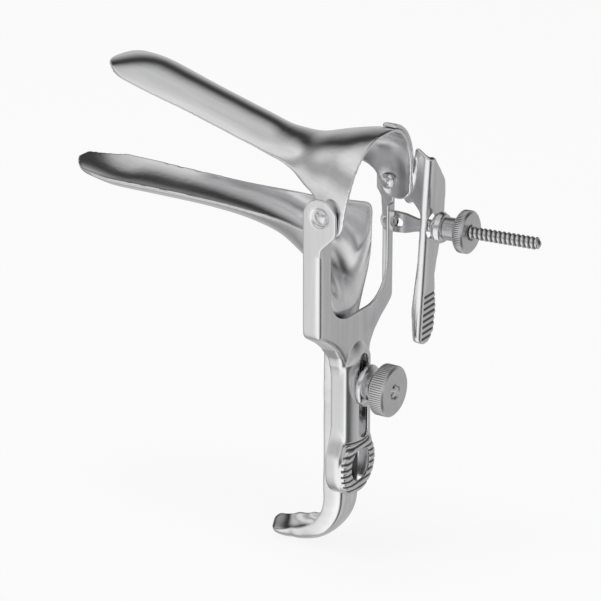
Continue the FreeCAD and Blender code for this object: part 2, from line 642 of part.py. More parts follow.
def collar(radius, length, neck, bore, start, rise):
    """A collar behind a nut, widest near its rear and rounded towards the nut."""
    profile = [(0, bore), (0, bore + 0.8), (rise, radius - 0.4), (rise + 0.5, radius), (rise + 1.0, radius)]
    profile += [(rise + 1.8, radius - 0.5), (length - 0.5, neck + 0.9), (length, neck), (length, bore)]
    return turned(profile, start, vec(1, 0, 0))


def clamp_stud(strap):
    """Stud on the strap's back: a saddle base, a shoulder that carries the stem and a plain shank."""
    radius = bulge_radius() - SHEET
    reach = STUD_BASE_RADIUS + STUD_PLAY
    shoulder = STEM_CROWN - SHEET - radius + math.sqrt(radius ** 2 - reach ** 2) - SIDE_GAP
    tip = CLAMP_START + CLAMP_COLLAR_LENGTH + NUT_GAP + CLAMP_NECK_LENGTH + CLAMP_NUT_LENGTH - 0.5
    profile = [(-5, 0), (-5, STUD_BASE_RADIUS), (shoulder, STUD_BASE_RADIUS), (shoulder, STUD_RADIUS)]
    profile += [(tip + a, r) for a, r in dome_profile(STUD_RADIUS, 1.0, 4)]
    stud = turned(profile, vec(0, 0, STUD_HEIGHT), vec(1, 0, 0))
    return max(stud.cut(strap).Solids, key=lambda solid: solid.Volume)


def save(name, shape):
    print(name, shape.ShapeType, shape.isValid(), len(shape.Solids), round(shape.Volume, 1), shape.BoundBox)
    shape.exportStep("parts/" + name + ".step")


os.makedirs("parts", exist_ok=True)
lower = lower_blade()
save("lower_blade", lower)
save("clamp_stud", clamp_stud(lower))
blade_rows = upper_rows()
dome = upper_blade(blade_rows)
save("upper_blade", dome)
save("thumb_lever", thumb_lever(blade_rows))
save("yoke_frame", yoke_frame())
save("hinge_rivets", hinge_rivets())
save("screw_pin", screw_pin())
save("lever_screw", lever_screw())
lever_start = LEVER_FACE + 0.05
height = vec(0, ROD_AXIS, ROD_HEIGHT)
save("lever_collar", raised(collar(LEVER_COLLAR_RADIUS, LEVER_COLLAR_LENGTH, LEVER_NECK_RADIUS, ROD_RADIUS + 0.15,
                                   height + vec(lever_start, 0, 0), 1.8)))
nut_start = lever_start + LEVER_COLLAR_LENGTH + NUT_GAP
save("lever_nut", raised(nut(LEVER_NUT_RADIUS, LEVER_NUT_LENGTH, LEVER_NECK_RADIUS, LEVER_NECK_LENGTH,
                             ROD_RADIUS + RUNNING, height + vec(nut_start, 0, 0))))
height = vec(CLAMP_START, 0, STUD_HEIGHT)
save("clamp_collar", collar(CLAMP_COLLAR_RADIUS, CLAMP_COLLAR_LENGTH, CLAMP_NECK_RADIUS, STUD_RADIUS + 0.15, height, 0.4))
nut_start = CLAMP_COLLAR_LENGTH + NUT_GAP
save("clamp_nut", nut(CLAMP_NUT_RADIUS, CLAMP_NUT_LENGTH, CLAMP_NECK_RADIUS, CLAMP_NECK_LENGTH, STUD_RADIUS + RUNNING,
                      height + vec(nut_start, 0, 0)))
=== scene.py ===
"""Bivalve speculum: rolled pressings, threads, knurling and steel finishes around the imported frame."""
import math

import bmesh
import bpy
from mathutils import Matrix, Vector


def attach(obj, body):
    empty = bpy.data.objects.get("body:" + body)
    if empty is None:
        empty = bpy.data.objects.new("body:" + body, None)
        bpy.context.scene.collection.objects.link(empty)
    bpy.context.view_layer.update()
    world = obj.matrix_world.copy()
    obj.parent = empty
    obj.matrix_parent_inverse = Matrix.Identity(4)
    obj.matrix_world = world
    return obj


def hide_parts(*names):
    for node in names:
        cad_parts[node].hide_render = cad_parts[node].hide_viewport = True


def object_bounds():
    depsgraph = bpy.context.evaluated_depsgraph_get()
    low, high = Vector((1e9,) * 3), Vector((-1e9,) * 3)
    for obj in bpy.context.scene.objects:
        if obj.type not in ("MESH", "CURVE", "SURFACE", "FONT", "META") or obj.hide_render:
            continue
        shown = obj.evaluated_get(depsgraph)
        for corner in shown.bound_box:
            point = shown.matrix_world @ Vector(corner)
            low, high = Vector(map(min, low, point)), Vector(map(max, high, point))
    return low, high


bl_info = {
    "name": "Bivalve speculum finish",
    "version": (1, 0, 0),
    "blender": (4, 5, 0),
    "location": "3D View > Sidebar > Speculum",
    "description": "Dresses the packed speculum with rolled edges, threads, knurled nuts and steel finishes",
    "category": "Object",
}

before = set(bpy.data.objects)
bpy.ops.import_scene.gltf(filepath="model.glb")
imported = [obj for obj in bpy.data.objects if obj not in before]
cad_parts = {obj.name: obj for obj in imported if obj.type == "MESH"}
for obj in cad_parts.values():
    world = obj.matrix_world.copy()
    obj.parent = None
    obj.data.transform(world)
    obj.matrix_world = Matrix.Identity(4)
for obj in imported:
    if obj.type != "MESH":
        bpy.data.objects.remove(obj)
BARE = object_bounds()
MM = 0.001

# brightness of the studio tent's cloth by the sine of the height angle, behind and before the object
TENT_BACK = ((0.0, 0.60), (0.16, 0.50), (0.40, 0.22), (0.55, 0.04), (0.72, 0.03), (0.86, 0.40), (0.95, 0.62))
TENT_FRONT = ((0.0, 0.85), (0.12, 0.80), (0.30, 0.40), (0.44, 0.42), (0.64, 0.85), (0.84, 0.80), (0.96, 0.62))
# brightness of its skirt by the turn from -X over -Y, +X and +Y back to -X
TENT_SKIRT = ((0.0, 0.3), (0.1, 0.6), (0.17, 0.86), (0.25, 1.1), (0.36, 1.15), (0.41, 0.45), (0.445, 0.04),
              (0.475, 0.05), (0.51, 0.46), (0.57, 0.62), (0.66, 0.46), (0.76, 0.50), (0.88, 0.55), (1.0, 0.3))

# share of the floor that glows white for the camera, so that only a soft shadow is left on it
FLOOR_GLOW = 0.86

# the steel's noises in waves for each metre, their reliefs in metres and their shares of the gloss
BRUSHED_SCALE = 900.0
COARSE_SCALE = 260.0
HANDLED_SCALE = 38.0
PITS_SCALE = 1500.0
BRUSHED_RELIEF = 0.0000016
PITS_RELIEF = 0.0000005
COARSE_GLOSS = 0.12
HANDLED_GLOSS = 0.05
# how far painted shade in grooves, folds and behind the stem darkens the colour, and how much rougher it makes it
PAINTED_SHADE_SHARE = 0.16
PAINTED_SHADE_ROUGH = 0.16

# where the turned pieces stand, in millimetres
ROD_PIN = (-2.2, 26.0, -16.2)
STUD_HEIGHT = -65.4
# turned pieces, in millimetres along and across their own axis
LEVER_NUT = {"start": 20.85, "neck_length": 5.6, "head_length": 3.9, "neck": 3.9, "radius": 7.25, "bore": 2.22}
CLAMP_NUT = {"start": 7.3, "neck_length": 2.2, "head_length": 5.6, "neck": 4.6, "radius": 8.75, "bore": 2.17}
LEVER_COLLAR = {"start": 16.15, "length": 4.6, "radius": 5.4, "neck": 3.9, "bore": 2.3, "rise": 1.8}
CLAMP_COLLAR = {"start": 3.6, "length": 3.6, "radius": 7.2, "neck": 4.6, "bore": 2.25, "rise": 0.4}

# grid of the redrawn pressings
PRESSED_VOXEL = 0.26 * MM
BLADE_VOXEL = 0.3 * MM
# the cross grooves of the finger ring and the thumb pad: their places, depths, half width as a share of
# the pitch, the power of their flanks' curve, and the depth of a fold that is fully dark with painted shade
RING_RIBS_TOP = -84.2 * MM
RING_FRONT = 0.8 * MM
RING_CUT = 0.5 * MM
PAD_LOW = -57.4 * MM
PAD_HIGH = -39.6 * MM
PAD_NEAR = 24.0 * MM
PAD_PITCH = 2.2 * MM
PAD_CUT = 0.42 * MM
GROOVE_SHARE = 0.27
GROOVE_FLANK = 0.7
FOLD_REACH = 0.012 * MM
# the lever's foot, in millimetres: where its rounding starts, its run, its middle and how much it narrows
FOOT_FROM = -54.0
FOOT_RUN = 4.4
FOOT_MIDDLE = 27.2
FOOT_DRAWN = 0.28
LEVER_BACK = 8.0
# half width of the yoke by height, in millimetres: as packed, and on its fuller drawn curve
SHOULDER_PLAIN = ((-42.0, 23.4), (-57.0, 8.0), (-60.0, 8.0))
SHOULDER = ((-42.0, 23.4), (-43.6, 21.4), (-46.7, 16.4), (-50.0, 12.4), (-54.0, 9.6), (-57.0, 8.0), (-60.0, 8.0))
# the lower blade's nose, in millimetres: where it starts, its length as packed and as drawn, and the lift
# of its tip
LOWER_TIP = -108.8
NOSE_OLD = 13.86
NOSE_NEW = 18.0
NOSE_RISE = 2.0
# the strap, in millimetres: the top of its squared corners and their blend, the height and place of the
# hook's centre, the reach from there to its front, its depth, half its width and the groove in its front
STRAP_TOP = -56
STRAP_BLEND = 12
STRAP_FOOT = -107.3
STRAP_PIVOT = -21.6
STRAP_REACH = 20.0
STRAP_DEEP = 7.4
STRAP_WIDE = 6.5
STRAP_GROOVE = 0.6
STRAP_GROOVE_WIDE = 1.9
# the roundness of the strap's section as packed and as drawn, as the power of a superellipse
ROUND_POWER = 2.4
SQUARE_POWER = 5
# how far round the hook the squared corners and the groove run out
SQUARED_TO = math.radians(75)
GROOVED_TO = math.radians(45)
# the spoon at the end of the hook, in millimetres: everything below this height and behind the hook's centre,
# its length, the runs after which it is at its widest and after which its tip lifts, the rounds that smooth
# it, how much wider it gets, and the sag of its middle and the lift of its tip
SPOON_BELOW = -87
SPOON_LENGTH = 12
SPOON_WIDEST = 8
SPOON_TIP = 6.0
SPOON_ROUNDS = 60
SPOON_WIDER = 0.3
SPOON_SAG = 1.2
SPOON_LIFT = 2.6


class Wire:
    """One shader value; an expression on it adds the Math nodes that work it out."""

    def __init__(self, graph, socket):
        self.graph = graph
        self.socket = socket

    def math(self, operation, first, second=0.0):
        """The result of one Math node."""
        node = self.graph.add("ShaderNodeMath", {"operation": operation}, {0: first, 1: second})
        return Wire(self.graph, node.outputs[0])

    def __add__(self, other):
        return self.math("ADD", self, other)

    def __radd__(self, other):
        return self.math("ADD", other, self)

    def __sub__(self, other):
        return self.math("SUBTRACT", self, other)

    def __rsub__(self, other):
        return self.math("SUBTRACT", other, self)

    def __mul__(self, other):
        return self.math("MULTIPLY", self, other)

    def __rmul__(self, other):
        return self.math("MULTIPLY", other, self)

    def above(self, edge, soft):
        """0 below the edge and 1 above it, with a soft step between."""
        values = {"Value": self, "From Min": edge - soft, "From Max": edge + soft}
        settings = {"interpolation_type": "SMOOTHSTEP"}
        return Wire(self.graph, self.graph.add("ShaderNodeMapRange", settings, values).outputs[0])


class Graph:
    """The nodes of one material or world."""

    def __init__(self, tree):
        self.tree = tree
        tree.nodes.clear()

    def add(self, kind, settings=None, values=None):
        """Adds a node: its settings first, then the values or links of its sockets."""
        node = self.tree.nodes.new(kind)
        for name, value in (settings or {}).items():
            if name == "stops":
                self.colour_stops(node.color_ramp, value)
            else:
                setattr(node, name, value)
        for name, value in (values or {}).items():
            source = value.socket if isinstance(value, Wire) else value
            if isinstance(source, bpy.types.NodeSocket):
                self.tree.links.new(source, node.inputs[name])
            else:
                node.inputs[name].default_value = source
        return node

    def colour_stops(self, ramp, stops):
        """Sets a ramp's grey stops from (place, brightness) pairs."""
        while len(ramp.elements) < len(stops):
            ramp.elements.new(1.0)
        for element, (place, shade) in zip(ramp.elements, stops):
            element.position = place
            element.color = (shade, shade, shade, 1.0)

    def wire(self, node, output=0):
        """One output of a node, ready for shader maths."""
        return Wire(self, node.outputs[output])

    def noise(self, place, scale, detail=3.0, stretch=(1.0, 1.0, 1.0), lean=0.0):
        """A 0 to 1 noise over the object's own place, stretched along an axis that leans about Y."""
        spread = tuple(1 / part for part in stretch)
        values = {"Vector": place, "Rotation": (0.0, lean, 0.0), "Scale": spread}
        mapped = self.add("ShaderNodeMapping", {"vector_type": "TEXTURE"}, values)
        values = {"Vector": mapped.outputs[0], "Scale": scale, "Detail": detail}
        return self.wire(self.add("ShaderNodeTexNoise", None, values))

    def blend(self, factor, first, second):
        """The colour between two colours."""
        node = self.add("ShaderNodeMix", {"data_type": "RGBA"})
        for index, value in ((0, factor), (6, first), (7, second)):
            source = value.socket if isinstance(value, Wire) else value
            if isinstance(source, bpy.types.NodeSocket):
                self.tree.links.new(source, node.inputs[index])
            else:
                node.inputs[index].default_value = source
        return node.outputs[2]


def through(keys, place):
    """Value at a place between (place, value) keys that run downwards."""
    for (high, first), (low, second) in zip(keys, keys[1:]):
        if place >= low:
            share = min(max((high - place) / (high - low), 0.0), 1.0)
            return first + (second - first) * share
    return keys[-1][1]


def hollows(work, groove, reach):
    """Marks the hollow folds of a mesh for painted shade that darkens the steel there."""
    depths = {}
    for vert in work.verts:
        around = Vector()
        for edge in vert.link_edges:
            around += edge.other_vert(vert).co
        around /= max(len(vert.link_edges), 1)
        depths[vert] = (around - vert.co).dot(vert.normal)
    for step in range(2):
        depths = {
            vert: (depths[vert] * 2 + sum(depths[edge.other_vert(vert)] for edge in vert.link_edges))
            / (2 + len(vert.link_edges))
            for vert in work.verts
        }
    for vert, depth in depths.items():
        vert[groove] = max(vert[groove], min(max(depth / reach - 0.35, 0.0), 1.0))


def shade_of(colour, share):
    """A colour made darker or lighter by a share."""
    return tuple(channel * share for channel in colour[:3]) + (1.0,)


def new_material(name):
    """A node material and its empty graph."""
    material = bpy.data.materials.new(name)
    material.use_nodes = True
    return material, Graph(material.node_tree)


def steel(name, colour, gloss, grain, stretch, lean=0.0, painted_shade=None):
    """Polished stainless steel: fine brushed grain, faint handling marks and uneven gloss.

    The last argument takes the graph and the split place and gives a 0 to 1 mask of painted shade, where the
    metal is made darker and duller."""
    material, graph = new_material(name)
    place = graph.add("ShaderNodeTexCoord").outputs["Object"]
    axes = graph.add("ShaderNodeSeparateXYZ", None, {0: place})
    brushed = graph.noise(place, BRUSHED_SCALE, 4.0, stretch, lean)
    coarse = graph.noise(place, COARSE_SCALE, 3.0, stretch, lean)
    handled = graph.noise(place, HANDLED_SCALE, 4.0)
    pits = graph.noise(place, PITS_SCALE, 2.0)
    tone = brushed * 0.35 + coarse * 0.35 + handled * 0.3
    shade = graph.blend(tone.above(0.5, 0.22), shade_of(colour, 0.9), shade_of(colour, 1.05))
    rough = gloss + (coarse - 0.5) * (COARSE_GLOSS * grain) + (handled - 0.5) * HANDLED_GLOSS
    height = (brushed - 0.5) * (BRUSHED_RELIEF * grain) + (pits - 0.5) * PITS_RELIEF
    # painted shade: the mask darkens the colour and dulls the gloss
    if painted_shade is not None:
        mask = painted_shade(graph, axes)
        shade = graph.blend(mask, shade, shade_of(colour, PAINTED_SHADE_SHARE))
        rough = rough + mask * PAINTED_SHADE_ROUGH
    bump = graph.add("ShaderNodeBump", None, {"Strength": 1.0, "Distance": 1.0, "Height": height})
    values = {"Base Color": shade, "Roughness": rough, "Metallic": 1.0, "Normal": bump.outputs[0]}
    surface = graph.add("ShaderNodeBsdfPrincipled", None, values)
    graph.add("ShaderNodeOutputMaterial", None, {0: surface.outputs[0]})
    return material


def groove_painted_shade(graph, axes):
    """Painted shade: dark metal where the groove attribute of the mesh is high, in thread and knurl roots, cut
    grooves and hollow folds.
    """
    mark = graph.add("ShaderNodeAttribute", {"attribute_name": "groove"})
    return graph.wire(mark, "Fac").above(0.5, 0.35)


def shadowed_strap(graph, axes):
    """Painted shade: dark, dull metal on the strap's front where the stem always covers it."""
    x, y, z = [graph.wire(axes, name) for name in "XYZ"]
    front = x.above(-4.5 * MM, 1.5 * MM)
    middle = (y * y * -1.0).above(-22 * MM * MM, 6 * MM * MM)
    return front * middle * z.above(-101.5 * MM, 3 * MM) * (z * -1.0).above(60 * MM, 3 * MM)


def finished(piece, body, material, replaced=()):
    """Gives a new piece its material and body, and hides the parts it replaces."""
    piece.data.materials.clear()
    piece.data.materials.append(material)
    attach(piece, body)
    if replaced:
        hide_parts(*replaced)


def new_piece(name, work, smooth_angle=40.0):
    """Turns a bmesh into a named object with smooth faces and crisp edges."""
    bmesh.ops.recalc_face_normals(work, faces=work.faces)
    mesh = bpy.data.meshes.new(name)
    work.to_mesh(mesh)
    work.free()
    mesh.shade_smooth()
    mesh.set_sharp_from_angle(angle=math.radians(smooth_angle))
    piece = bpy.data.objects.new(name, mesh)
    bpy.context.scene.collection.objects.link(piece)
    return piece


def rod_place():
    """Place of the rod's own axes: its X runs up the rod from the eye's pin."""
    sizes = bpy.context.scene.speculum_sizes
    tilt = Matrix.Rotation(-sizes.rod_rise, 4, "Y")
    return Matrix.Translation(Vector(ROD_PIN) * MM) @ tilt


def stud_place():
    """Place of the stud's own axes: its X runs toward the operator."""
    return Matrix.Translation(Vector((0.0, 0.0, STUD_HEIGHT)) * MM)


def turned_rings(work, profile, steps, place, ripple=None):
    """A closed turned ring: the profile is (along, radius) corners that close on themselves."""
    rings = []
    for k in range(steps):
        angle = 2 * math.pi * k / steps
        ring = []
        for j, (along, radius) in enumerate(profile):
            reach = radius + (ripple(j, k) if ripple else 0.0)
            point = Vector((along, reach * math.cos(angle), reach * math.sin(angle)))
            ring.append(work.verts.new(place @ point))
        rings.append(ring)
    for k in range(steps):
        first = rings[k]
        second = rings[(k + 1) % steps]
        for j in range(len(profile)):
            after = (j + 1) % len(profile)
            work.faces.new((first[j], first[after], second[after], second[j]))


def eased(profile, radius, steps=4):
    """Rounds every corner of a closed (along, radius) profile; radius is in metres."""
    corners = [Vector(corner) for corner in profile]
    result = []
    for i, corner in enumerate(corners):
        before = corners[i - 1] - corner
        after = corners[(i + 1) % len(corners)] - corner
        reach = min(radius, before.length * 0.45, after.length * 0.45)
        start = corner + before.normalized() * reach
        end = corner + after.normalized() * reach
        for k in range(steps + 1):
            t = k / steps
            result.append(start * (1 - t) ** 2 + corner * (2 * t * (1 - t)) + end * t * t)
    return [(point[0], point[1]) for point in result]


def outline_plate(name, loops, depth, bevel):
    """A flat plate with holes and softened edges from closed outlines, as a mesh in its own XY plane."""
    curve = bpy.data.curves.new(name, "CURVE")
    curve.dimensions = "2D"
    curve.fill_mode = "BOTH"
    curve.extrude = depth / 2 - bevel
    curve.bevel_depth = bevel
    curve.bevel_resolution = 2
    curve.offset = -bevel
    for loop in loops:
        spline = curve.splines.new("POLY")
        spline.points.add(len(loop) - 1)
        for point, corner in zip(spline.points, loop):
            point.co = (corner[0], corner[1], 0.0, 1.0)
        spline.use_cyclic_u = True
    holder = bpy.data.objects.new(name, curve)
    mesh = bpy.data.meshes.new_from_object(holder)
    bpy.data.objects.remove(holder)
    bpy.data.curves.remove(curve)
    return mesh


def arc(centre, radius, start, end, steps):
    """Points on an arc between two angles in degrees."""
    points = []
    for k in range(steps + 1):
        angle = math.radians(start + (end - start) * k / steps)
        points.append((centre[0] + radius * math.cos(angle), centre[1] + radius * math.sin(angle)))
    return points


class SpeculumSizes(bpy.types.PropertyGroup):
    """Sizes and colours of the finish that a user may change."""

    rod_rise: bpy.props.FloatProperty(
        name="Rod rise", description="How far the rod tips up from level", default=math.radians(2.7),
        subtype="ANGLE")
    thread_pitch: bpy.props.FloatProperty(
        name="Thread pitch", description="Pitch of the rod's thread", default=0.00175, unit="LENGTH", precision=5)
    thread_depth: bpy.props.FloatProperty(
        name="Thread depth", description="Depth of the rod's thread", default=0.00052, unit="LENGTH", precision=5)
    rod_radius: bpy.props.FloatProperty(
        name="Rod radius", description="Outer radius of the rod", default=0.00215, unit="LENGTH", precision=5)
    knurl_ribs: bpy.props.IntProperty(
        name="Knurl ribs", description="Straight ribs round the rim of each nut", default=68)
    knurl_depth: bpy.props.FloatProperty(
        name="Knurl depth", description="Depth between the nuts' ribs", default=0.00022, unit="LENGTH",
        precision=5)
    ring_rib_pitch: bpy.props.FloatProperty(
        name="Ring rib pitch", description="Spacing of the finger ring's ribs", default=0.0022, unit="LENGTH",
        precision=5)
    blade_colour: bpy.props.FloatVectorProperty(
        name="Blade steel", description="Colour of the polished blades", default=(0.84, 0.84, 0.85),
        subtype="COLOR")
    yoke_colour: bpy.props.FloatVectorProperty(
        name="Yoke steel", description="Colour of the satin yoke and lever", default=(0.80, 0.80, 0.81),
        subtype="COLOR")
    turned_colour: bpy.props.FloatVectorProperty(
        name="Turned steel", description="Colour of nuts, collars and pins", default=(0.74, 0.74, 0.75),
        subtype="COLOR")
    floor_colour: bpy.props.FloatVectorProperty(
        name="Floor", description="Colour of the studio floor", default=(0.9, 0.9, 0.9), subtype="COLOR")


class SPECULUM_OT_rod(bpy.types.Operator):
    """Build the rod: a cut thread with a rounded end and the flat slotted eye."""

    bl_idname = "speculum.rod"
    bl_label = "Threaded rod"

    def execute(self, context):
        sizes = context.scene.speculum_sizes
        # painted shade darkens the thread's roots
        metal = steel("rod steel", sizes.turned_colour, 0.24, 0.6, (0.3, 1.0, 1.0), painted_shade=groove_painted_shade)
        self.thread(sizes, rod_place(), metal)
        self.eye(context.scene, rod_place(), metal)
        return {"FINISHED"}

    def thread(self, sizes, place, metal):
        """The round rod with a helical groove that grows from its plain neck and ends at the domed tip."""
        start, end, dome = 11.0 * MM, 56.0 * MM, 1.7 * MM
        thread_from = 14.0 * MM
        sides = 28
        rows_a_turn = 12
        half_groove = 0.36
        flank = 0.8
        rows = int((end - start) / sizes.thread_pitch * rows_a_turn)
        work = bmesh.new()
        groove = work.verts.layers.float.new("groove")
        rings = []
        for i in range(rows + 1):
            along = start + (end - start) * i / rows
            outer = sizes.rod_radius
            if along > end - dome:
                rest = (along - (end - dome)) / dome
                outer = sizes.rod_radius * math.sqrt(max(1 - rest ** 2, 0.0)) + 0.02 * MM
            grown = min(max((along - thread_from) / sizes.thread_pitch, 0.0), 1.0)
            ring = []
            for k in range(sides):
                turn = (along / sizes.thread_pitch - k / sides) % 1.0
                cut = 1 - min(abs(turn - 0.5) / half_groove, 1.0)
                depth = min(sizes.thread_depth, outer * 0.6) * grown * (cut ** flank)
                reach = outer - depth
                angle = 2 * math.pi * k / sides
                vert = work.verts.new(place @ Vector((along, reach * math.cos(angle), reach * math.sin(angle))))
                # the groove mark paints shade into the thread's roots
                vert[groove] = grown * cut
                ring.append(vert)
            rings.append(ring)
        for first, second in zip(rings, rings[1:]):
            for k in range(sides):
                after = (k + 1) % sides
                work.faces.new((first[k], first[after], second[after], second[k]))
        work.faces.new(list(reversed(rings[0])))
        work.faces.new(rings[-1])
        piece = new_piece("rod_thread", work, 60.0)
        finished(piece, "rod", metal, ("lever_screw",))

    def eye(self, scene, place, metal):
        """The rod's flattened end with the slot that rides on the yoke's pin."""
        radius, slot_radius, slot_length = 3.6, 1.65, 3.6
        thick, edge, aside = 1.6, 0.18, -1.05
        upper = [(13.2, 1.9), (10.4, 2.2), (6.2, 3.3), (2.6, 3.6)]
        outline = upper + arc((0.0, 0.0), radius, 90, 270, 18)
        outline += [(along, -across) for along, across in reversed(upper)]
        slot = arc((slot_length, 0.0), slot_radius, 90, -90, 12) + arc((0.0, 0.0), slot_radius, -90, -270, 12)
        loops = [[(along * MM, across * MM) for along, across in loop] for loop in (outline, slot)]
        mesh = outline_plate("rod_eye", loops, thick * MM, edge * MM)
        stand = Matrix.Translation(Vector((0.0, aside, 0.0)) * MM) @ Matrix.Rotation(math.radians(90), 4, "X")
        mesh.transform(place @ stand)
        mesh.shade_smooth()
        mesh.set_sharp_from_angle(angle=math.radians(35))
        plate = bpy.data.objects.new("rod_eye", mesh)
        scene.collection.objects.link(plate)
        finished(plate, "rod", metal)


class SPECULUM_OT_nuts(bpy.types.Operator):
    """Build both knurled nuts with faced fronts, countersinks and necks."""

    bl_idname = "speculum.nuts"
    bl_label = "Knurled nuts"

    def execute(self, context):
        sizes = context.scene.speculum_sizes
        # painted shade darkens the roots between the knurl's ribs
        metal = steel("knurled steel", sizes.turned_colour, 0.3, 0.7, (0.4, 1.0, 1.0), painted_shade=groove_painted_shade)
        self.nut("lever_nut_knurled", "lever_nut", "rod_nut", rod_place(), metal, LEVER_NUT, sizes)
        self.nut("clamp_nut_knurled", "clamp_nut", "stud_nut", stud_place(), metal, CLAMP_NUT, sizes)
        return {"FINISHED"}

    def nut(self, name, node, body, place, metal, shape, sizes):
        """One nut turned from its profile, its rim cut into straight ribs."""
        start, neck, radius, bore = [shape[key] * MM for key in ("start", "neck", "radius", "bore")]
        shoulder = start + shape["neck_length"] * MM
        front = shoulder + shape["head_length"] * MM
        ease, fillet, rim, land, ribs_from = 0.35 * MM, 0.5 * MM, 0.9 * MM, 0.55 * MM, 0.75 * MM
        root = radius - sizes.knurl_depth
        profile = [(start, bore), (start, neck - ease), (start + ease, neck)]
        profile += [(shoulder - fillet, neck), (shoulder, neck + fillet)]
        profile += [(shoulder, radius - rim), (shoulder + land, root)]
        knurled_from = len(profile)
        profile += [(shoulder + ribs_from, radius), (front - ribs_from, radius)]
        profile += [(front - land, root), (front, radius - rim)]
        profile += [(front, bore + 0.75 * MM), (front - 0.45 * MM, bore + 0.12 * MM), (front - 0.7 * MM, bore)]
        steps = sizes.knurl_ribs * 4
        ribs = (0.0, 0.75, 1.0, 0.75)

        def ripple(j, k):
            if knurled_from <= j <= knurled_from + 1:
                return -sizes.knurl_depth * (1 - ribs[k % 4])
            return 0.0

        work = bmesh.new()
        groove = work.verts.layers.float.new("groove")
        turned_rings(work, profile, steps, place, ripple)
        work.verts.ensure_lookup_table()
        for index, vert in enumerate(work.verts):
            j = index % len(profile)
            k = index // len(profile)
            # the groove mark paints shade between the knurl's ribs
            if knurled_from <= j <= knurled_from + 1:
                vert[groove] = 0.9 * (1 - ribs[k % 4])
        piece = new_piece(name, work, 32.0)
        finished(piece, body, metal, (node,))


class SPECULUM_OT_collars(bpy.types.Operator):
    """Build the two turned collars behind the nuts."""

    bl_idname = "speculum.collars"
    bl_label = "Collars"

    def execute(self, context):
        sizes = context.scene.speculum_sizes
        metal = steel("turned steel", sizes.turned_colour, 0.13, 0.5, (0.4, 1.0, 1.0))
        self.collar("lever_collar_turned", "lever_collar", "rod_collar", rod_place(), metal, LEVER_COLLAR)
        self.collar("clamp_collar_turned", "clamp_collar", "stud_collar", stud_place(), metal, CLAMP_COLLAR)
        return {"FINISHED"}

    def collar(self, name, node, body, place, metal, shape):
        """One collar turned from its profile, with a domed back."""
        start, radius, neck, bore, rise = [shape[key] * MM for key in ("start", "radius", "neck", "bore", "rise")]
        end = start + shape["length"] * MM
        profile = [(start, bore), (start, bore + 0.8 * MM), (start + rise * 0.5, radius - 1.0 * MM)]
        profile += [(start + rise, radius - 0.3 * MM), (start + rise + 0.5 * MM, radius)]
        profile += [(start + rise + 1.0 * MM, radius), (start + rise + 1.6 * MM, radius - 0.35 * MM)]
        profile += [(end - 0.5 * MM, neck + 0.9 * MM), (end, neck), (end, bore)]
        work = bmesh.new()
        turned_rings(work, eased(profile, 0.35 * MM), 72, place)
        piece = new_piece(name, work, 50.0)
        finished(piece, body, metal, (node,))


def polish(work, verts, rounds):
    """Smooths vertices, which rounds edges and folds a little with each round."""
    for step in range(rounds):
        bmesh.ops.smooth_vert(work, verts=verts, factor=0.5, use_axis_x=True, use_axis_y=True, use_axis_z=True)


def rolled(name, node, body, metal, shape, rounds, carve, voxel=PRESSED_VOXEL):
    """The node's solid drawn again in a fine grid, shaped, and with its edges and folds polished round.

    shape moves the grid's vertices before the polish, and carve cuts the grooves after it and marks them for
    painted shade."""
    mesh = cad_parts[node].data.copy()
    mesh.transform(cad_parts[node].matrix_world)
    holder = bpy.data.objects.new(name, mesh)
    bpy.context.scene.collection.objects.link(holder)
    grid = holder.modifiers.new("grid", "REMESH")
    grid.mode = "VOXEL"
    grid.voxel_size = voxel
    fine = bpy.data.meshes.new_from_object(holder.evaluated_get(bpy.context.evaluated_depsgraph_get()))
    bpy.data.objects.remove(holder)
    work = bmesh.new()
    work.from_mesh(fine)
    bpy.data.meshes.remove(fine)
    shape(work)
    polish(work, work.verts, rounds)
    work.normal_update()
    groove = work.verts.layers.float.new("groove")
    carve(work, groove)
    piece = new_piece(name, work, 180.0)
    finished(piece, body, metal, (node,))


def plain(work, groove=None):
    """Leaves a mesh as it is."""


def ribbed(work, groove, cuts, deep):
    """Cuts grooves back along X by each vertex's share and marks them and the folds for painted shade that
    darkens them.
    """
    for vert, cut in cuts:
        vert.co.x -= deep * cut
        vert[groove] = cut
    work.normal_update()
    hollows(work, groove, FOLD_REACH)


def groove_cut(turn):
    """Depth share of a groove whose middle is at half a turn."""
    return max(1 - abs(turn - 0.5) / GROOVE_SHARE, 0.0) ** GROOVE_FLANK


